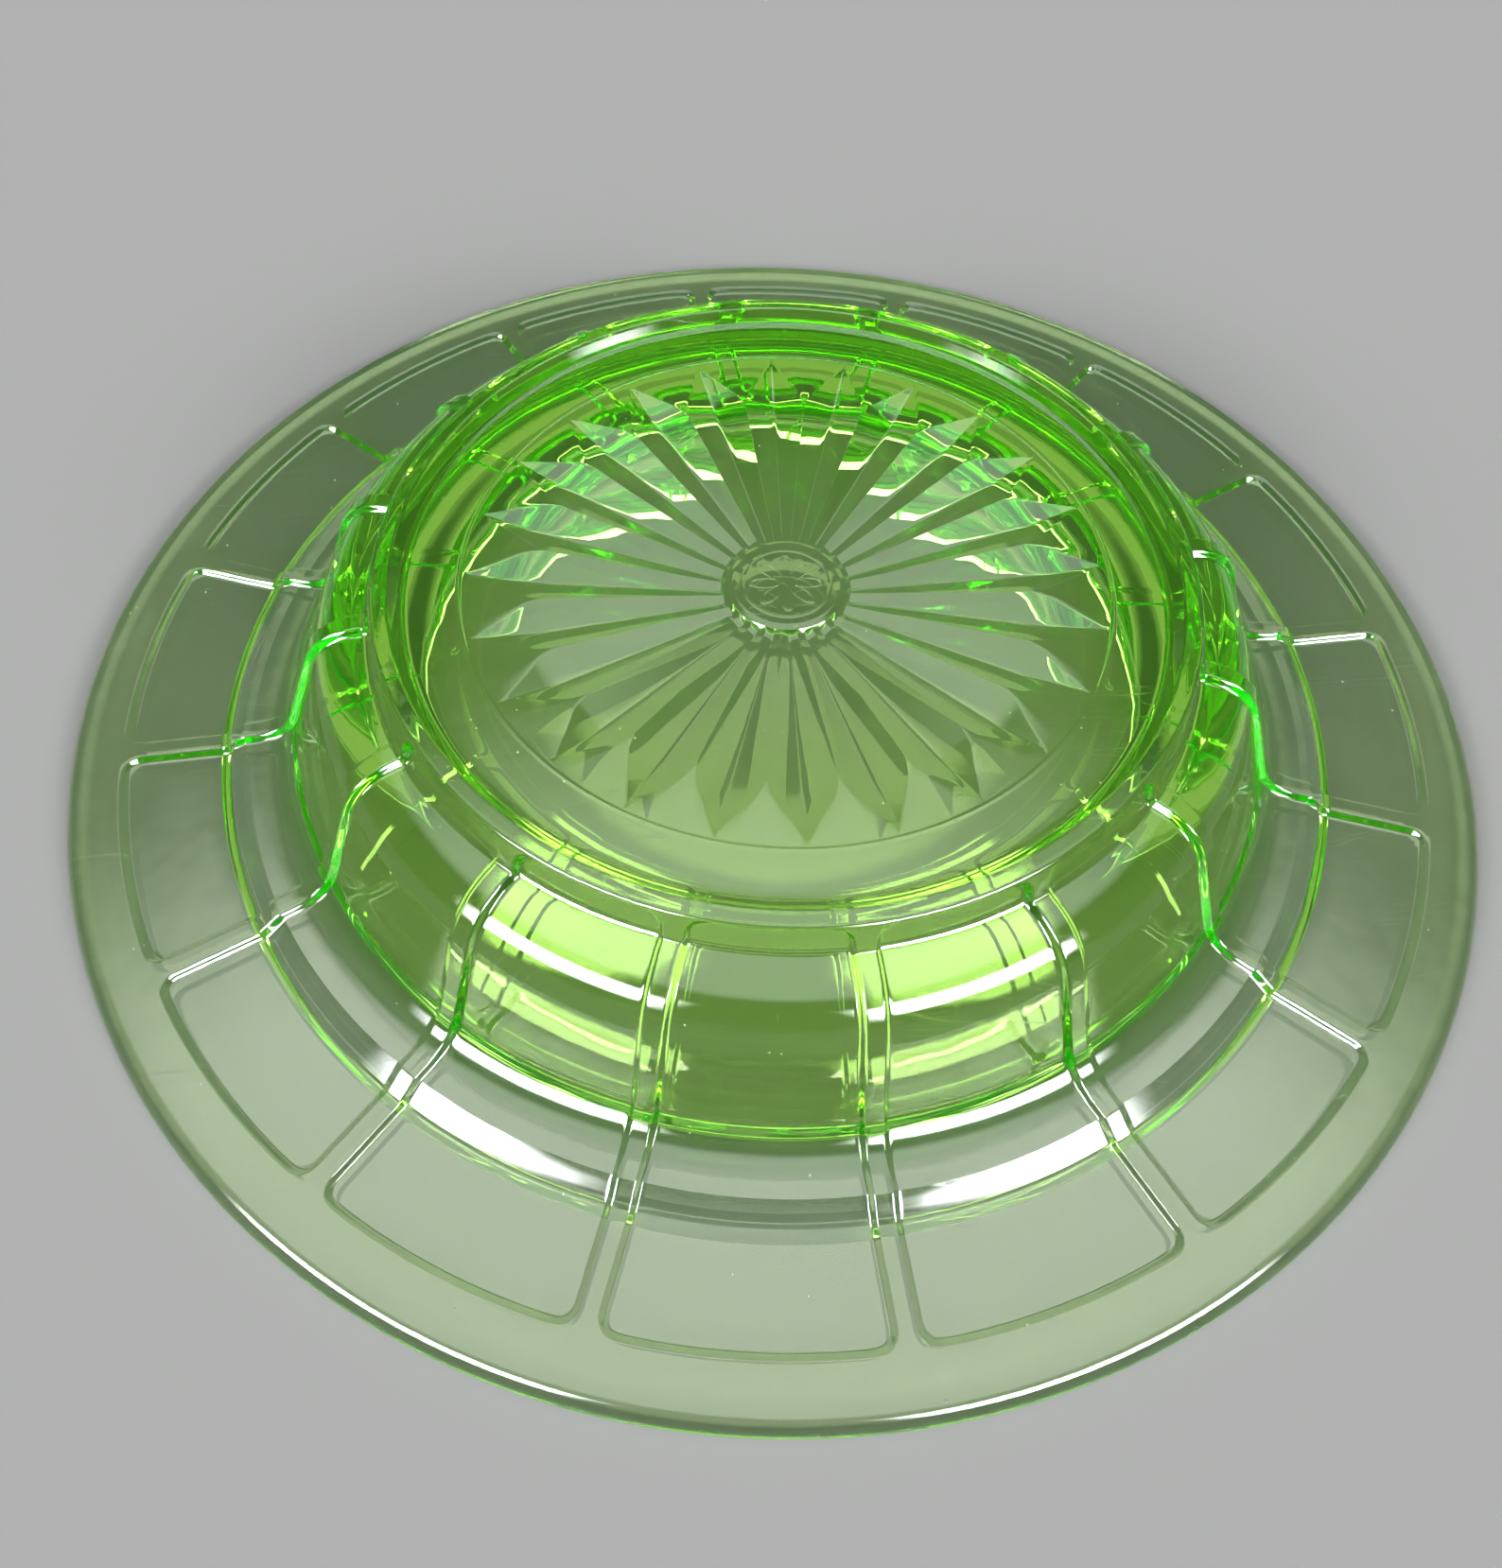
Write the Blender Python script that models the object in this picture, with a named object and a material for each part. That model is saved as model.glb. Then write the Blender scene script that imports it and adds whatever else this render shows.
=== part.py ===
"""Pressed uranium-glass dish with sixteen ribbed panels and a star-cut base.

The dish stands upside down on its rim: the rim rests on z = 0 and the foot,
with the star, faces +Z.  Metres throughout, axis of the dish on Z.
"""
import math

import bpy
import bmesh

# ---- driving dimensions (metres, radians) ---------------------------------
RIM_R = 0.0890            # outer radius of the rim
HEIGHT = 0.02665          # rest plane to the top of the standing ring

PANELS = 16               # panels round the dish, one raised rib between each two
RIB_HALF = 0.0009         # half the flat top of a rib
FLANK = 0.0008            # width of the sloping side of a panel
RELIEF = 0.0008           # depth of a panel below the rib tops
CORNER = 0.0024           # rounding of the panel corners

FOOT_OUT = 0.0478         # standing ring, outer radius
FOOT_FLAT = 0.0474        # standing ring, outer edge of the flat
FOOT_IN = 0.0458          # standing ring, inner edge of the flat
FOOT_FILLET = 0.0436      # where the ring has run out into the base
BASE_Z = 0.0249           # flat of the base inside the ring

RAYS = 24                 # V cuts of the star
STAR_TURN = math.radians(-6.0)
DISC_R = 0.0070           # plain button in the middle of the star
DISC_Z = 0.0228
RAY_FOOT_R = 0.0073       # where a cut leaves the button
RAY_WIDE_R = 0.0307       # where a cut is widest
RAY_TIP_R = 0.0368        # point of a cut
RAY_DEEP = 0.0034         # depth of a cut at the button
RAY_SHALLOW = 0.00145     # depth of a cut where it is widest
RAY_SLOPE = 0.44          # rise of a cut's sides

SHOULDER_R = 0.0497       # start of the shoulder arc
SHOULDER_Z = 0.0230
SHOULDER_ARC = 0.0076
WALL_LEAN = math.radians(22.0)      # wall from the vertical
TOE_ARC = 0.0055          # hollow curve from the wall into the flange
FLANGE_IN_Z = 0.0052      # flange beside the wall
STEP_IN_R = 0.0674        # step in the flange
STEP_OUT_R = 0.0703
BAND_Z = 0.0031           # flange outside the step
BAND_R = 0.0823           # inner edge of the plain outer band
EDGE_R = 0.0868           # start of the rounded rim edge

REST_IN_R = 0.0845        # flat of the rim that rests on the table
REST_OUT_R = 0.0880
SEAT_OUT_R = 0.0706       # step of the inner seat
SEAT_IN_R = 0.0688
SEAT_Z = 0.0021           # height of the seat above the rest plane
LIP_R = 0.0566            # lip round the mouth, where its sloping outer side starts
LIP_RUN = 0.0027          # width of that slope
LIP_Z = 0.0006            # height of the lip above the rest plane
MOUTH_R = 0.0559          # mouth of the hollow
FLOOR_Z = 0.0184          # inner floor of the dish
FLOOR_R = 0.0285          # where the floor starts to curve down
BOWL_ARC = 0.0300         # radius of the bowl-shaped inner wall

PITCH = 2.0 * math.pi / PANELS
COLS = PANELS * 8         # columns of the ribbed side
PLAIN_COLS = 72           # columns of the plain side


def arc(cr, cz, rad, a0, a1, steps):
    """Points of an arc in the (r, z) half plane, end points included."""
    out = []
    for i in range(steps + 1):
        a = a0 + (a1 - a0) * i / steps
        out.append((cr + rad * math.cos(a), cz + rad * math.sin(a)))
    return out


def outer_profile():
    """Rib-top line from the base, over the foot and wall, to the rim edge."""
    foot = [(FOOT_FILLET, BASE_Z), (FOOT_FILLET + 0.0009, BASE_Z + 0.0004),
            (FOOT_IN - 0.0006, HEIGHT - 0.0003), (FOOT_IN, HEIGHT),
            (FOOT_FLAT, HEIGHT), (FOOT_OUT, HEIGHT - 0.0003)]
    ledge = [(FOOT_OUT + 0.0004, HEIGHT - 0.0013), (FOOT_OUT + 0.0010, HEIGHT - 0.0024),
             (FOOT_OUT + 0.0014, SHOULDER_Z + 0.0004)]
    shoulder = arc(SHOULDER_R, SHOULDER_Z - SHOULDER_ARC, SHOULDER_ARC,
                   math.pi / 2, WALL_LEAN, 5)
    r0, z0 = shoulder[-1]
    meet = r0 + math.tan(WALL_LEAN) * (z0 - FLANGE_IN_Z)
    toe_r = meet + TOE_ARC * math.tan(math.pi / 4 - WALL_LEAN / 2)
    toe = arc(toe_r, FLANGE_IN_Z + TOE_ARC, TOE_ARC, math.pi + WALL_LEAN, 1.5 * math.pi, 3)
    wall = [((r0 + toe[0][0]) / 2, (z0 + toe[0][1]) / 2)]
    flange = [(STEP_IN_R, FLANGE_IN_Z - 0.0002), (STEP_OUT_R, BAND_Z + 0.0002)]
    cells = [(STEP_OUT_R + 0.0028, BAND_Z + 0.0001), (BAND_R - 0.0030, BAND_Z),
             (BAND_R - CORNER * 0.4, BAND_Z), (BAND_R, BAND_Z), (EDGE_R, BAND_Z)]
    edge = arc(EDGE_R, BAND_Z - 0.0022, 0.0022, math.pi / 2, 0.0, 4)[1:]
    return foot + ledge + shoulder + wall + toe + flange + cells + edge


def inner_profile():
    """Plain line from under the rim, over seat and lip, up the bowl to the inner floor."""
    rim = [(REST_OUT_R, 0.0), (REST_IN_R, 0.0), (SEAT_OUT_R, 0.0003)]
    seat = [(SEAT_IN_R, SEAT_Z), (LIP_R + LIP_RUN, SEAT_Z), (LIP_R, LIP_Z), (MOUTH_R, LIP_Z)]
    centre = FLOOR_Z - BOWL_ARC
    low = math.asin((LIP_Z + 0.0006 - centre) / BOWL_ARC)
    bowl = arc(FLOOR_R, centre, BOWL_ARC, low, math.pi / 2, 12)
    return rim + seat + bowl


def lengths(points):
    """Running length along a profile."""
    total = [0.0]
    for a, b in zip(points, points[1:]):
        total.append(total[-1] + math.dist(a, b))
    return total


def normals(points):
    """Outward normals of a profile, averaged at each point."""
    out = []
    for i in range(len(points)):
        a, b = points[max(i - 1, 0)], points[min(i + 1, len(points) - 1)]
        d = math.dist(a, b)
        out.append((-(b[1] - a[1]) / d, (b[0] - a[0]) / d))
    return out


def column_angle(col, radius):
    """Angle of a column: columns keep to the rib edges at every radius."""
    panel, k = divmod(col, 8)
    top = math.asin(RIB_HALF / radius)
    side = math.asin((RIB_HALF + FLANK) / radius)
    corner = math.asin((RIB_HALF + CORNER) / radius)
    marks = (0.0, top, side, corner, PITCH / 2, PITCH - corner, PITCH - side, PITCH - top)
    return panel * PITCH + marks[k]


def column_angles(radius):
    """Angles of all columns at one radius, closed by the full turn."""
    return [column_angle(c, radius) for c in range(COLS)] + [2.0 * math.pi]


def turned(radius, z, count):
    """Evenly spaced points of one ring of the plain side."""
    step = 2.0 * math.pi / count
    return [(radius * math.cos(i * step), radius * math.sin(i * step), z) for i in range(count)]


def recess(along, past, radius, angle):
    """Depth of a panel below the rib tops at one point."""
    off = angle % PITCH
    side = radius * math.sin(min(off, PITCH - off)) - RIB_HALF
    end = min(along, past)
    if side <= 0.0 or end <= 0.0:
        return 0.0
    inside = min(side, end)
    if side < CORNER and end < CORNER:
        inside = CORNER - math.hypot(CORNER - side, CORNER - end)
    return RELIEF * max(0.0, min(1.0, inside / FLANK))


def add_ring(bm, points):
    return [bm.verts.new(p) for p in points]


def bridge(bm, inner, outer):
    """Join two closed rings of the same count."""
    count = len(inner)
    for i in range(count):
        j = (i + 1) % count
        bm.faces.new((inner[i], outer[i], outer[j], inner[j]))


def zip_rings(bm, inner, outer, inner_at, outer_at):
    """Join two closed rings of any counts by walking round both in step."""
    n, m = len(inner), len(outer)
    i = j = 0
    while i < n or j < m:
        step_in = j >= m or (i < n and inner_at[i + 1] <= outer_at[j + 1])
        if step_in:
            bm.faces.new((inner[i % n], outer[j % m], inner[(i + 1) % n]))
            i += 1
        else:
            bm.faces.new((inner[i % n], outer[j % m], outer[(j + 1) % m]))
            j += 1


def star(bm):
    """Button, V cuts and the points of the cuts; returns the ring round the tips."""
    half = math.pi / RAYS
    ring = {}

    def put(key, radius, angle, z):
        a = STAR_TURN + angle
        ring[key] = bm.verts.new((radius * math.cos(a), radius * math.sin(a), z))

    t = RAY_SLOPE
    rise = (RAY_DEEP - RAY_SHALLOW) / (RAY_WIDE_R - RAY_FOOT_R)
    meet = (RAY_SHALLOW + rise * RAY_WIDE_R) / (t * math.tan(half) + rise) / math.cos(half)
    wide = math.atan2(RAY_SHALLOW / t, RAY_WIDE_R)
    wide_r = math.hypot(RAY_WIDE_R, RAY_SHALLOW / t)
    low = BASE_Z - RAY_DEEP
    for k in range(RAYS):
        a = 2 * half * k
        put(("d", 2 * k), DISC_R, a, DISC_Z)
        put(("d", 2 * k + 1), DISC_R, a + half, DISC_Z)
        put(("c", k), RAY_FOOT_R, a, low)
        put(("v", k), RAY_FOOT_R, a + half, low + t * RAY_FOOT_R * math.sin(half))
        put(("w", k), RAY_WIDE_R, a, BASE_Z - RAY_SHALLOW)
        put(("m", k), meet, a + half, BASE_Z)
        put(("l", k), wide_r, a - wide, BASE_Z)
        put(("r", k), wide_r, a + wide, BASE_Z)
        put(("t", k), RAY_TIP_R, a, BASE_Z)
    bm.faces.new([ring[("d", i)] for i in range(2 * RAYS)])
    for k in range(RAYS):
        n = (k + 1) % RAYS
        d0, d1, d2 = ring[("d", 2 * k)], ring[("d", 2 * k + 1)], ring[("d", 2 * n)]
        c, v, c2 = ring[("c", k)], ring[("v", k)], ring[("c", n)]
        w, m, w2 = ring[("w", k)], ring[("m", k)], ring[("w", n)]
        right, left = ring[("r", k)], ring[("l", n)]
        bm.faces.new((d0, c, v, d1))
        bm.faces.new((d1, v, c2, d2))
        bm.faces.new((c, w, right, m, v))
        bm.faces.new((c2, v, m, left, w2))
        bm.faces.new((w, ring[("t", k)], right))
        bm.faces.new((w2, left, ring[("t", n)]))
    return ring


def star_margin(bm, ring, outer):
    """Flat of the base between the points of the star and the foot."""
    half = math.pi / RAYS
    loop, at = [], []
    for k in range(RAYS):
        n = (k + 1) % RAYS
        right, m, left = ring[("r", k)], ring[("m", k)], ring[("l", n)]
        bm.faces.new((right, left, m))
        loop += [ring[("t", k)], right, left]
        at += [2 * half * k + x * half for x in (0.0, 0.8, 1.2)]
    at = [a + STAR_TURN for a in at] + [STAR_TURN + 2 * math.pi]
    zip_rings(bm, loop, outer, at, column_angles(FOOT_FILLET))


def ribbed_side(bm):
    """Foot, wall and flange with their sunk panels; returns first and last ring."""
    line = outer_profile()
    run, nrm = lengths(line), normals(line)
    start = run[5]
    end = next(u for u, p in zip(run, line) if p[0] >= BAND_R)
    first = last = None
    for (r, z), u, (nr, nz) in zip(line, run, nrm):
        pts = []
        for c in range(COLS):
            a = column_angle(c, r)
            d = recess(u - start, end - u, r, a)
            rr = r - nr * d
            pts.append((rr * math.cos(a), rr * math.sin(a), z - nz * d))
        now = add_ring(bm, pts)
        if last:
            bridge(bm, last, now)
        first, last = first or now, now
    return first, last


def plain_side(bm, rim_ring):
    """Smooth underside: rest ring, seat, inner wall and inner floor."""
    rings = [add_ring(bm, turned(r, z, PLAIN_COLS)) for r, z in inner_profile()]
    even = [2.0 * math.pi * i / PLAIN_COLS for i in range(PLAIN_COLS + 1)]
    zip_rings(bm, rim_ring, rings[0], column_angles(RIM_R), even)
    for near, far in zip(rings, rings[1:]):
        bridge(bm, near, far)
    bm.faces.new(rings[-1])


def glass():
    """Pale yellow-green uranium glass."""
    mat = bpy.data.materials.new("uranium_glass")
    mat.use_nodes = True
    node = mat.node_tree.nodes["Principled BSDF"]
    node.inputs["Base Color"].default_value = (0.60, 0.86, 0.30, 1.0)
    node.inputs["Roughness"].default_value = 0.04
    node.inputs["IOR"].default_value = 1.52
    node.inputs["Alpha"].default_value = 0.35
    return mat


def dish():
    """The whole dish as one closed body."""
    bm = bmesh.new()
    points = star(bm)
    foot_ring, rim_ring = ribbed_side(bm)
    star_margin(bm, points, foot_ring)
    plain_side(bm, rim_ring)
    bmesh.ops.recalc_face_normals(bm, faces=bm.faces)
    bmesh.ops.triangulate(bm, faces=bm.faces)
    mesh = bpy.data.meshes.new("dish")
    bm.to_mesh(mesh)
    bm.free()
    obj = bpy.data.objects.new("dish", mesh)
    mesh.materials.append(glass())
    bpy.context.scene.collection.objects.link(obj)
    return obj


for old in list(bpy.data.objects):
    bpy.data.objects.remove(old, do_unlink=True)
dish()
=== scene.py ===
import math

import bpy
from mathutils import Matrix, Vector, noise


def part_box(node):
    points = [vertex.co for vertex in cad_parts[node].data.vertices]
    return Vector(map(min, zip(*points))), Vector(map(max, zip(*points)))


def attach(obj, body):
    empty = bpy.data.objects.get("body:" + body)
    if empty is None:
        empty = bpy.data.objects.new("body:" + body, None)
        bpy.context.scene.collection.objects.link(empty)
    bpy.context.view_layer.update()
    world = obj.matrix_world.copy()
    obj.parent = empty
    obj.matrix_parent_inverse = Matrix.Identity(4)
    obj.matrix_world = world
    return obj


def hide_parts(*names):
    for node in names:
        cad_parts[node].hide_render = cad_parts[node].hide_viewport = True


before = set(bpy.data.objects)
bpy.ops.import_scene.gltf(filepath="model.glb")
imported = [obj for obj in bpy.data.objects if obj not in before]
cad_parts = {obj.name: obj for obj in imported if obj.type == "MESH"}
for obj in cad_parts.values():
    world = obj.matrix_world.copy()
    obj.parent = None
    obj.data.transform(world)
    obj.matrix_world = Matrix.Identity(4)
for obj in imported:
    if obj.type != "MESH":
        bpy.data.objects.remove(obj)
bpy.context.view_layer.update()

# The dish stands on its rim, foot and star up.  Metres, axis of the dish on Z.
# ---- driving dimensions ----------------------------------------------------
LOW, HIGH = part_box("dish")
RIM_R = (HIGH[0] - LOW[0]) / 2
HEIGHT = HIGH[2]

PANELS = 16
PITCH = 2 * math.pi / PANELS
RIB_HALF = 0.0009         # half the flat top of a rib
FLANK = 0.0008            # width of the sloping side of a panel
RELIEF = 0.0008           # depth of a panel below the rib tops
CORNER = 0.0024           # rounding of the panel corners

BASE_Z = HEIGHT - 0.00175
FOOT_IN = 0.0458          # standing ring, inner and outer radius
FOOT_OUT = 0.0478
SHOULDER_R = 0.0497       # start of the shoulder arc
SHOULDER_Z = 0.0230
SHOULDER_ARC = 0.0076
WALL_LEAN = math.radians(22.0)
TOE_ARC = 0.0055          # hollow curve from the wall into the flange
FLANGE_IN_Z = 0.0052
STEP_IN_R = 0.0674
STEP_OUT_R = 0.0702
BAND_Z = 0.0031
BAND_R = 0.0823           # where the panels end and the plain band starts
REST_RUN = 0.0046         # the underside rests on this much of the rim
REST_IN_Z = 0.00028       # slight lift of the underside inside the rest
SEAT_Z = 0.0021           # seat for a cover
LIP_R = 0.0566            # low lip round the mouth, outer radius
LIP_Z = 0.0006
LIP_RUN = 0.0027          # width of its sloping outer side
MOUTH_TURN = 0.14         # part of the bowl's arc that the mouth's rounding takes, radians
FLOOR_Z = 0.0184          # inner floor
FLOOR_R = 0.0285          # where the inner floor starts to curve down
BOWL_ARC = 0.0300         # radius of the bowl-shaped inner wall

RAYS = 24
STAR_TURN = math.radians(-6.0)
DISC_R = 0.0070           # plain button in the middle
DISC_Z = 0.0228
MARK_R = 0.0052           # ring of the small rosette pressed into the button
PETALS = 8
PETAL_IN = 0.0012         # radius of the rosette between its petals
PETAL_LONG = 0.0030       # length of a petal
MARK_LINE = 0.00022       # half width of the raised lines
MARK_HIGH = 0.00007
RAY_FOOT_R = 0.0073       # where a cut leaves the button, is widest, and ends
RAY_WIDE_R = 0.0307
RAY_TIP_R = 0.0368
RAY_DEEP = 0.0034         # depth at the button and where the cut is widest
RAY_SHALLOW = 0.00145
RAY_SLOPE = 0.44          # rise of a cut's sides
RAY_SOFT = 0.00008        # rounding of a cut's middle line
RING_LINE_R = 0.0380      # hair line that the mould left round the star
LINE_HALF = 0.00015
LINE_HIGH = 0.00010
LINE_CLEAR = 0.0004       # plain base kept on both sides of the hair line
WAVES = 0.00002           # height of the waves that pressing leaves

# ---- fineness of the mesh --------------------------------------------------
OUTER_STEP = 0.0014
INNER_STEP = 0.002
NEAR_FINE = 0.0032        # the line is finer than its step within this of a fine radius
BOWL_STEPS = 40
OPEN_STEPS = 7            # columns in half the open width of a panel
CUT_MARKS = (0.0, 0.08, 0.2, 0.4, 0.6, 0.8, 0.92, 1.0)
GAP_MARKS = (0.1, 0.5)
RAY_RINGS = 30
BUTTON_RINGS = 56

# ---- light -----------------------------------------------------------------
DOME_LIGHT = 3.6          # bright ceiling, and how high it starts and is full
DOME_FROM, DOME_FULL = 0.76, 0.89
ROOM_LIGHT = 0.08
HORIZON_LIGHT = 0.22
WINDOW_LIGHT = 110.0
WINDOWS = ((-0.66, -0.74, 0.54), (0.66, -0.74, 0.54))


# ---- profile helpers -------------------------------------------------------
def rounded(points):
    """Polyline through (r, z, rounding): each corner becomes an arc."""
    out = []
    for i, (r, z, rad) in enumerate(points):
        p = Vector((r, z))
        if rad <= 0 or i in (0, len(points) - 1):
            out.append((r, z))
            continue
        a = (Vector(points[i - 1][:2]) - p).normalized()
        b = (Vector(points[i + 1][:2]) - p).normalized()
        half = a.angle(b) / 2
        centre = p + (a + b).normalized() * (rad / math.sin(half))
        start = p + a * (rad / math.tan(half)) - centre
        end = p + b * (rad / math.tan(half)) - centre
        turn = start.angle_signed(end)
        steps = max(4, int(abs(turn) / math.radians(9)))
        for k in range(steps + 1):
            a0 = -turn * k / steps
            x = start.x * math.cos(a0) - start.y * math.sin(a0)
            y = start.x * math.sin(a0) + start.y * math.cos(a0)
            out.append((centre.x + x, centre.y + y))
    return out


def refined(points, step, fine=()):
    """The same line with no gap over step, or over a fifth of it near the fine radii."""
    closest = 2e-5
    out = [points[0]]
    for a, b in zip(points, points[1:]):
        length = math.dist(a, b)
        n = max(1, math.ceil(length / step))
        marks = {k / n for k in range(1, n + 1)}
        if length > step / 4:
            m = math.ceil(length / (step / 5))
            for k in range(1, m):
                r = a[0] + (b[0] - a[0]) * k / m
                if any(abs(r - f) < NEAR_FINE for f in fine):
                    marks.add(k / m)
        for t in sorted(marks):
            p = (a[0] + (b[0] - a[0]) * t, a[1] + (b[1] - a[1]) * t)
            if math.dist(out[-1], p) > closest:
                out.append(p)
    return out


def outer_line():
    """Rib-top line: hair line, foot, ledge, shoulder, wall, toe, flange, step, band, rim."""
    corner_r = SHOULDER_R + SHOULDER_ARC * math.tan(math.pi / 4 - WALL_LEAN / 2)
    wall_r = corner_r + math.tan(WALL_LEAN) * (SHOULDER_Z - FLANGE_IN_Z)
    hair = [(RING_LINE_R - LINE_CLEAR, BASE_Z), (RING_LINE_R - LINE_HALF, BASE_Z),
            (RING_LINE_R, BASE_Z + LINE_HIGH), (RING_LINE_R + LINE_HALF, BASE_Z),
            (RING_LINE_R + LINE_CLEAR, BASE_Z)]
    rest = rounded([
        (RING_LINE_R + LINE_CLEAR, BASE_Z, 0),
        (FOOT_IN - 0.0015, BASE_Z, 0.0014),
        (FOOT_IN, HEIGHT, 0.0004),
        (FOOT_OUT, HEIGHT, 0.0007),
        (FOOT_OUT + 0.0013, SHOULDER_Z, 0.0006),
        (corner_r, SHOULDER_Z, SHOULDER_ARC),
        (wall_r, FLANGE_IN_Z, TOE_ARC),
        (STEP_IN_R, FLANGE_IN_Z - 0.0002, 0.0009),
        (STEP_OUT_R, BAND_Z + 0.0001, 0.0009),
        (RIM_R, BAND_Z, 0.0022),
        (RIM_R, 0.0, 0.0009),
        (RIM_R - REST_RUN, 0.0, 0),
    ])
    return hair, rest


def inner_line():
    """Underside: rest flat, seat for a cover, mouth, bowl-shaped hollow and its floor."""
    centre = FLOOR_Z - BOWL_ARC
    end = math.acos((LIP_Z - centre) / BOWL_ARC)

    def bowl(turn):
        return (FLOOR_R + BOWL_ARC * math.sin(turn), centre + BOWL_ARC * math.cos(turn), 0)

    mouth_r = bowl(end)[0]
    line = rounded([
        (RIM_R - REST_RUN, 0.0, 0),
        (STEP_OUT_R + 0.0006, REST_IN_Z, 0.0006),
        (STEP_IN_R + 0.0016, SEAT_Z, 0.0006),
        (LIP_R + LIP_RUN, SEAT_Z, 0.0005),
        (LIP_R, LIP_Z, 0.0005),
        (mouth_r, LIP_Z, 0.0006),
        bowl(end - MOUTH_TURN),
    ])
    turns = [(end - MOUTH_TURN) * (1 - k / BOWL_STEPS) for k in range(1, BOWL_STEPS + 1)]
    line += [bowl(turn)[:2] for turn in turns]
    return line + [(FLOOR_R - 0.004, FLOOR_Z)]


def lengths(points):
    """Running length along a profile."""
    total = [0.0]
    for a, b in zip(points, points[1:]):
        total.append(total[-1] + math.dist(a, b))
    return total


def normals(points):
    """Outward normals of a profile, averaged at each point."""
    out = []
    for i in range(len(points)):
        a, b = points[max(i - 1, 0)], points[min(i + 1, len(points) - 1)]
        d = math.dist(a, b)
        out.append((-(b[1] - a[1]) / d, (b[0] - a[0]) / d))
    return out


def smooth(t):
    """Soft step from 0 to 1."""
    t = max(0.0, min(1.0, t))
    return t * t * (3 - 2 * t)


# ---- columns and panels ----------------------------------------------------
RIB_MARKS = [RIB_HALF * k for k in (0.0, 0.5, 0.85)]
RIB_MARKS += [RIB_HALF + FLANK * k for k in (0.0, 0.12, 0.3, 0.5, 0.7, 0.88, 1.0)]
RIB_MARKS += [RIB_HALF + FLANK + (CORNER - FLANK) * k for k in (0.2, 0.5, 1.0)]


def column_angles(radius):
    """Angles of all columns: parallel to the ribs near them, evenly spread between."""
    near = [math.asin(y / radius) for y in RIB_MARKS]
    half = near + [near[-1] + (PITCH / 2 - near[-1]) * k / OPEN_STEPS for k in range(1, OPEN_STEPS)]
    panel = half + [PITCH / 2] + [PITCH - a for a in reversed(half[1:])]
    return [p * PITCH + a for p in range(PANELS) for a in panel]


def recess(along, past, radius, angle):
    """Depth of a panel below the rib tops at one point."""
    off = angle % PITCH
    side = radius * math.sin(min(off, PITCH - off)) - RIB_HALF
    end = min(along, past)
    if side <= 0 or end <= 0:
        return 0.0
    inside = min(side, end)
    if side < CORNER and end < CORNER:
        inside = CORNER - math.hypot(CORNER - side, CORNER - end)
    return RELIEF * smooth(inside / FLANK)


# ---- mesh ------------------------------------------------------------------
class Shell:
    """Collects rings of points and the faces between them."""

    def __init__(self):
        self.verts, self.faces = [], []

    def ring(self, points):
        """Adds the points and returns their numbers."""
        first = len(self.verts)
        self.verts.extend(points)
        return list(range(first, len(self.verts)))

    def bridge(self, a, b):
        """Quads between two rings with the same number of points."""
        n = len(a)
        for i in range(n):
            j = (i + 1) % n
            self.faces.append((a[i], b[i], b[j], a[j]))

    def zip(self, a, b, a_at, b_at):
        """Triangles between two rings whose points stand at different angles."""
        n, m = len(a), len(b)
        i = j = 0
        while i < n or j < m:
            if j >= m or (i < n and a_at[i + 1] <= b_at[j + 1]):
                self.faces.append((a[i % n], b[j % m], a[(i + 1) % n]))
                i += 1
            else:
                self.faces.append((a[i % n], b[j % m], b[(j + 1) % m]))
                j += 1


def ray_depth(x):
    """Depth of a cut's middle line below the base, at distance x from the axis."""
    if x >= RAY_WIDE_R:
        return RAY_SHALLOW * max(0.0, (RAY_TIP_R - x) / (RAY_TIP_R - RAY_WIDE_R))
    return RAY_SHALLOW + (RAY_DEEP - RAY_SHALLOW) * (RAY_WIDE_R - x) / (RAY_WIDE_R - RAY_FOOT_R)


def star_columns(radius):
    """Angles round the star that follow the edges of every cut at this radius."""
    half = math.pi / RAYS
    width = 0.0
    for _ in range(6):
        width = ray_depth(math.sqrt(max(radius ** 2 - width ** 2, 0))) / RAY_SLOPE
    edge = min(math.asin(min(width / radius, 1)), half - 0.00006 / radius)
    edge = max(edge, 0.00004 / radius)
    marks = [edge * k for k in CUT_MARKS] + [edge + (half - edge) * k for k in GAP_MARKS]
    one = marks + [half] + [2 * half - a for a in reversed(marks[1:])]
    return [STAR_TURN + 2 * half * k + a for k in range(RAYS) for a in one]


def star_height(radius, angle):
    """Height of the base inside the star."""
    pitch = 2 * math.pi / RAYS
    off = (angle - STAR_TURN + pitch / 2) % pitch - pitch / 2
    x, y = radius * math.cos(off), radius * math.sin(off)
    drop = ray_depth(x) - RAY_SLOPE * (math.hypot(y, RAY_SOFT) - RAY_SOFT)
    return BASE_Z - max(0.0, drop)


def raised(distance):
    """Height of a soft line at this distance from its middle."""
    return MARK_HIGH * smooth(1 - abs(distance) / MARK_LINE)


def button_height(radius, angle):
    """Button with a ring and a petalled rosette, its edge rounded over."""
    petal = PETAL_IN + PETAL_LONG * abs(math.cos(PETALS / 2 * (angle - STAR_TURN)))
    line = max(raised(radius - MARK_R), raised(radius - petal))
    over = smooth((radius - DISC_R * 0.90) / (DISC_R * 0.12))
    return DISC_Z + line - 0.0003 * over


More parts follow.
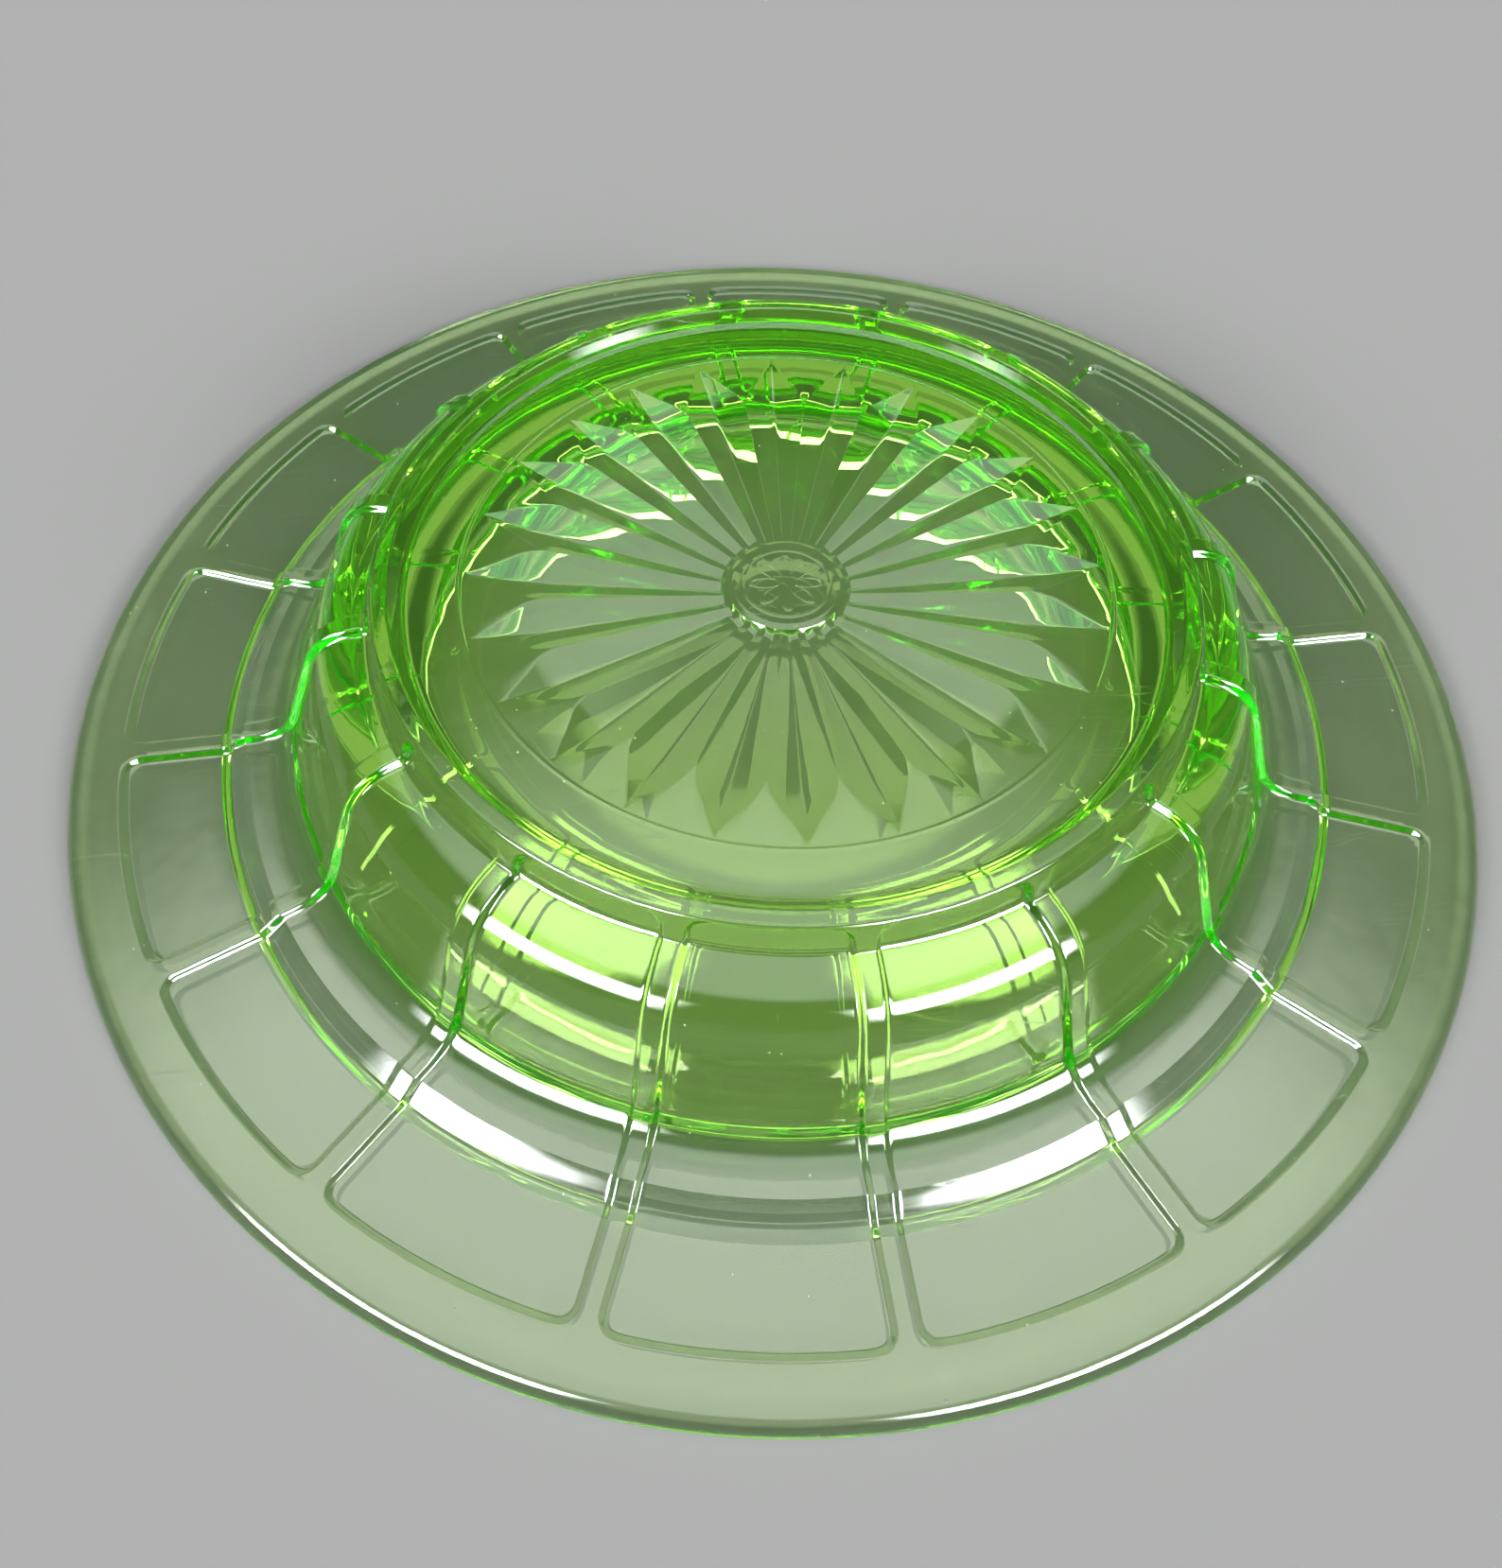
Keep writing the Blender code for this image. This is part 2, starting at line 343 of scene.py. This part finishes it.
def star(shell):
    """Button, cuts and the flat round their points; returns the last ring and its angles."""
    at = star_columns(RAY_FOOT_R)
    last = None
    for k in range(1, BUTTON_RINGS + 1):
        radius = DISC_R * k / BUTTON_RINGS
        now = shell.ring([(radius * math.cos(a), radius * math.sin(a), button_height(radius, a))
                          for a in at])
        if last:
            shell.bridge(last, now)
        else:
            shell.faces.append(tuple(now))
        last = now
    for k in range(RAY_RINGS + 1):
        t = k / RAY_RINGS
        radius = RAY_FOOT_R + (RAY_TIP_R - RAY_FOOT_R) * t
        at = star_columns(radius)
        now = shell.ring([(radius * math.cos(a), radius * math.sin(a), star_height(radius, a))
                          for a in at])
        shell.bridge(last, now)
        last = now
    return last, star_columns(RAY_TIP_R)


def ribbed_side(shell, star_ring, star_at):
    """Foot, wall, flange and rim with the sunk panels; returns the last ring."""
    hair, rest = outer_line()
    line = hair + refined(rest, OUTER_STEP, fine=(FOOT_OUT, BAND_R))[1:]
    run, nrm = lengths(line), normals(line)
    start = next(u for u, p in zip(run, line) if p[0] >= FOOT_OUT - 1e-5)
    end = next(u for u, p in zip(run, line) if p[0] >= BAND_R)
    last = None
    for (r, z), u, (nr, nz) in zip(line, run, nrm):
        at = column_angles(r)
        pts = []
        for a in at:
            d = recess(u - start, end - u, r, a)
            rr = r - nr * d
            pts.append((rr * math.cos(a), rr * math.sin(a), z - nz * d))
        now = shell.ring(pts)
        if last:
            shell.bridge(last, now)
        else:
            shell.zip(star_ring, now, star_at + [star_at[0] + 2 * math.pi], at + [2 * math.pi])
        last = now
    return last


def plain_side(shell, rim_ring):
    """Underside, closed by the flat inner floor."""
    last = rim_ring
    for r, z in refined(inner_line(), INNER_STEP)[1:]:
        now = shell.ring([(r * math.cos(a), r * math.sin(a), z) for a in column_angles(RIM_R)])
        shell.bridge(last, now)
        last = now
    shell.faces.append(tuple(reversed(last)))


def unevenness(obj, size):
    """Slight waves in the surface, none on the rest plane."""
    mesh = obj.data
    moved = []
    for v in mesh.vertices:
        p = v.co
        wave = noise.noise(p * 55) + 0.4 * noise.noise(p * 160 + Vector((7, 3, 1)))
        fade = smooth(p.z / 0.002)
        moved.append(p + v.normal * (wave * size * fade))
    for v, p in zip(mesh.vertices, moved):
        v.co = p


def dish():
    """The fine glass body that stands for the CAD dish."""
    shell = Shell()
    star_ring, star_at = star(shell)
    rim_ring = ribbed_side(shell, star_ring, star_at)
    plain_side(shell, rim_ring)
    mesh = bpy.data.meshes.new("dish_glass")
    mesh.from_pydata(shell.verts, [], shell.faces)
    mesh.validate()
    mesh.update()
    obj = bpy.data.objects.new("dish_glass", mesh)
    bpy.context.scene.collection.objects.link(obj)
    unevenness(obj, WAVES)
    mesh.shade_smooth()
    mesh.materials.append(uranium_glass())
    return obj


# ---- materials -------------------------------------------------------------
class Nodes:
    """Short calls for building a node tree."""

    def __init__(self, tree):
        self.tree = tree
        self.place = tree.nodes.new("ShaderNodeTexCoord").outputs["Object"]

    def put(self, socket, value):
        """Links a socket to the value, or sets it on the socket."""
        if isinstance(value, bpy.types.NodeSocket):
            self.tree.links.new(value, socket)
        else:
            socket.default_value = value

    def math(self, operation, a, b=0.0, clamp=False):
        node = self.tree.nodes.new("ShaderNodeMath")
        node.operation = operation
        node.use_clamp = clamp
        self.put(node.inputs[0], a)
        self.put(node.inputs[1], b)
        return node.outputs[0]

    def ramp(self, value, low, high, out_low=0.0, out_high=1.0):
        node = self.tree.nodes.new("ShaderNodeMapRange")
        node.interpolation_type = "SMOOTHSTEP"
        for name, v in (("Value", value), ("From Min", low), ("From Max", high),
                        ("To Min", out_low), ("To Max", out_high)):
            self.put(node.inputs[name], v)
        return node.outputs["Result"]

    def turned(self, angles, scale):
        """Object position, turned and stretched."""
        node = self.tree.nodes.new("ShaderNodeMapping")
        self.put(node.inputs["Vector"], self.place)
        node.inputs["Rotation"].default_value = angles
        node.inputs["Scale"].default_value = scale
        return node.outputs["Vector"]

    def noise(self, scale, detail=3.0, place=None, warp=0.0):
        node = self.tree.nodes.new("ShaderNodeTexNoise")
        self.put(node.inputs["Vector"], place or self.place)
        node.inputs["Scale"].default_value = scale
        node.inputs["Detail"].default_value = detail
        node.inputs["Distortion"].default_value = warp
        return node.outputs[0]

    def specks(self, scale, radius, share):
        """Small round spots, one in some of the cells."""
        node = self.tree.nodes.new("ShaderNodeTexVoronoi")
        self.put(node.inputs["Vector"], self.place)
        node.inputs["Scale"].default_value = scale
        near = self.ramp(node.outputs["Distance"], radius * scale, radius * scale * 0.5)
        split = self.tree.nodes.new("ShaderNodeSeparateColor")
        self.put(split.inputs[0], node.outputs["Color"])
        return self.math("MULTIPLY", near, self.math("LESS_THAN", split.outputs[0], share))

    def scratches(self, turn, tilt, patch):
        """Hair-fine lines that lie one way and come and go in patches."""
        lines = self.noise(1.0, 0.0, self.turned((0, tilt, turn), (14, 620, 14)), 0.15)
        off = self.math("ABSOLUTE", self.math("SUBTRACT", lines, 0.5))
        thin = self.ramp(off, 0.010, 0.002)
        where = self.ramp(self.noise(patch, 1.0), 0.58, 0.66)
        return self.math("MULTIPLY", thin, where)

    def bump(self, height, depth):
        node = self.tree.nodes.new("ShaderNodeBump")
        node.inputs["Strength"].default_value = 1.0
        node.inputs["Distance"].default_value = depth
        self.put(node.inputs["Height"], height)
        return node.outputs["Normal"]

    def highest(self, values):
        top = values[0]
        for v in values[1:]:
            top = self.math("MAXIMUM", top, v)
        return top


def uranium_glass():
    """Clear yellow-green glass with a faint painted green glow, smears, dust, scratches, a worn
    foot and a mould's skin.
    """
    mat = bpy.data.materials.new("uranium_glass")
    mat.use_nodes = True
    tree = mat.node_tree
    shader = tree.nodes["Principled BSDF"]
    shader.inputs["Base Color"].default_value = (1.0, 1.0, 1.0, 1.0)
    shader.inputs["Transmission Weight"].default_value = 1.0
    shader.inputs["IOR"].default_value = 1.52
    # Painted glow: a faint green emission all over the glass stands in for the green light that
    # thick glass shows. The glass is no lamp.
    shader.inputs["Emission Color"].default_value = (0.05, 1.0, 0.0, 1.0)
    shader.inputs["Emission Strength"].default_value = 0.018
    mat.cycles.emission_sampling = "NONE"

    make = Nodes(tree)
    axes = tree.nodes.new("ShaderNodeSeparateXYZ")
    make.put(axes.inputs[0], make.place)
    film = make.ramp(make.noise(38, 2.0), 0.50, 0.72, 0.0, 0.03)
    dust = make.specks(430, 0.00014, 0.12)
    lines = make.highest([make.scratches(0.5, 0.1, 40), make.scratches(1.9, 0.7, 55)])
    foot = make.ramp(axes.outputs["Z"], HEIGHT - 0.0003, HEIGHT - 0.0001)
    worn = make.math("MULTIPLY", foot, make.ramp(make.noise(900, 1.0), 0.45, 0.70, 0.0, 0.22))
    rough = make.highest([film, worn, make.math("MULTIPLY", dust, 0.5),
                          make.math("MULTIPLY", lines, 0.2)])
    make.put(shader.inputs["Roughness"], rough)
    skin = make.math("MULTIPLY", make.noise(210, 1.0), 0.25)
    height = make.math("ADD", skin, make.math("MULTIPLY", dust, 0.30))
    make.put(shader.inputs["Normal"], make.bump(height, 0.0001))

    absorb = tree.nodes.new("ShaderNodeVolumeAbsorption")
    absorb.inputs["Color"].default_value = (0.77, 0.980, 0.33, 1.0)
    absorb.inputs["Density"].default_value = 120.0
    out = tree.nodes["Material Output"]
    tree.links.new(absorb.outputs["Volume"], out.inputs["Volume"])
    return mat


def floor_material():
    """Matt grey that the strong light makes pale."""
    mat = bpy.data.materials.new("floor")
    mat.use_nodes = True
    shader = mat.node_tree.nodes["Principled BSDF"]
    shader.inputs["Base Color"].default_value = (0.070, 0.0695, 0.068, 1.0)
    shader.inputs["Roughness"].default_value = 0.8
    shader.inputs["Specular IOR Level"].default_value = 0.0
    return mat


# ---- stage -----------------------------------------------------------------
def floor():
    """Plain pale floor, a hair below the rim so that the two don't share a plane."""
    size = 3.0
    mesh = bpy.data.meshes.new("floor")
    mesh.from_pydata([(-size, -size, 0), (size, -size, 0), (size, size, 0), (-size, size, 0)],
                     [], [(0, 1, 2, 3)])
    obj = bpy.data.objects.new("floor", mesh)
    obj.location.z = -0.0002
    mesh.materials.append(floor_material())
    bpy.context.scene.collection.objects.link(obj)


def window(make, aim):
    """Soft-edged patch of bright sky; aim is seen from the camera, which looks along +Y."""
    front = Matrix.Rotation(VIEW_TURN, 3, "Z") @ Vector(aim).normalized()
    side = front.cross(Vector((0, 0, 1))).normalized()
    above = side.cross(front)

    def along(axis):
        node = make.tree.nodes.new("ShaderNodeVectorMath")
        node.operation = "DOT_PRODUCT"
        make.put(node.inputs[0], make.tree.nodes["Texture Coordinate"].outputs["Generated"])
        node.inputs[1].default_value = axis
        return node.outputs["Value"]

    wide = make.ramp(make.math("ABSOLUTE", along(side)), 0.40, 0.16)
    tall = make.ramp(make.math("ABSOLUTE", along(above)), 0.22, 0.06)
    ahead = make.math("GREATER_THAN", along(front), 0.0)
    return make.math("MULTIPLY", ahead, make.math("MULTIPLY", wide, tall))


def lighting():
    """Light from all round: an overhead dome, two soft windows in front, a pale horizon."""
    world = bpy.data.worlds.new("studio")
    world.use_nodes = True
    make = Nodes(world.node_tree)
    aim = world.node_tree.nodes.new("ShaderNodeSeparateXYZ")
    make.put(aim.inputs[0], world.node_tree.nodes["Texture Coordinate"].outputs["Generated"])
    dome = make.ramp(aim.outputs["Z"], DOME_FROM, DOME_FULL, ROOM_LIGHT, DOME_LIGHT)
    horizon = make.ramp(aim.outputs["Z"], 0.16, 0.02, 0.0, HORIZON_LIGHT)
    windows = make.math("ADD", window(make, WINDOWS[0]), window(make, WINDOWS[1]))
    bright = make.math("MULTIPLY", windows, WINDOW_LIGHT)
    light = make.math("ADD", dome, make.math("ADD", horizon, bright))
    back = world.node_tree.nodes["Background"]
    back.inputs["Color"].default_value = (0.97, 0.99, 1.0, 1)
    make.put(back.inputs["Strength"], light)
    bpy.context.scene.world = world


VIEW_TURN = math.radians(-10.7)
VIEW_TILT = math.radians(56.2)
VIEW_ROLL = math.radians(2.74)
VIEW_DISTANCE = 1.943 * RIM_R
VIEW_AIM = (-0.034 * RIM_R, -0.152 * RIM_R)
VIEW_LENS = 31.4


def camera():
    """Camera looking down on the upturned dish, slightly rolled."""
    data = bpy.data.cameras.new("camera")
    data.lens = VIEW_LENS
    data.clip_start = 0.01
    obj = bpy.data.objects.new("camera", data)
    back = Vector((0, -math.cos(VIEW_TILT), math.sin(VIEW_TILT)))
    right = Vector((1, 0, 0))
    up = back.cross(right)
    x = right * math.cos(VIEW_ROLL) + up * math.sin(VIEW_ROLL)
    y = up * math.cos(VIEW_ROLL) - right * math.sin(VIEW_ROLL)
    place = Matrix((x, y, back)).transposed().to_4x4()
    place.translation = Vector((*VIEW_AIM, 0)) + back * VIEW_DISTANCE
    obj.matrix_world = Matrix.Rotation(VIEW_TURN, 4, "Z") @ place
    bpy.context.scene.collection.objects.link(obj)
    bpy.context.scene.camera = obj


def light_paths():
    """Enough bounces for light to run round inside the glass."""
    cycles = bpy.context.scene.cycles
    cycles.max_bounces = 32
    cycles.transmission_bounces = 32
    cycles.glossy_bounces = 12
    cycles.diffuse_bounces = 4
    cycles.caustics_reflective = True
    cycles.caustics_refractive = True
    cycles.use_denoising = True
    bpy.context.scene.view_settings.view_transform = "Standard"


glass = dish()
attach(glass, "root")
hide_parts("dish")
floor()
lighting()
camera()
light_paths()
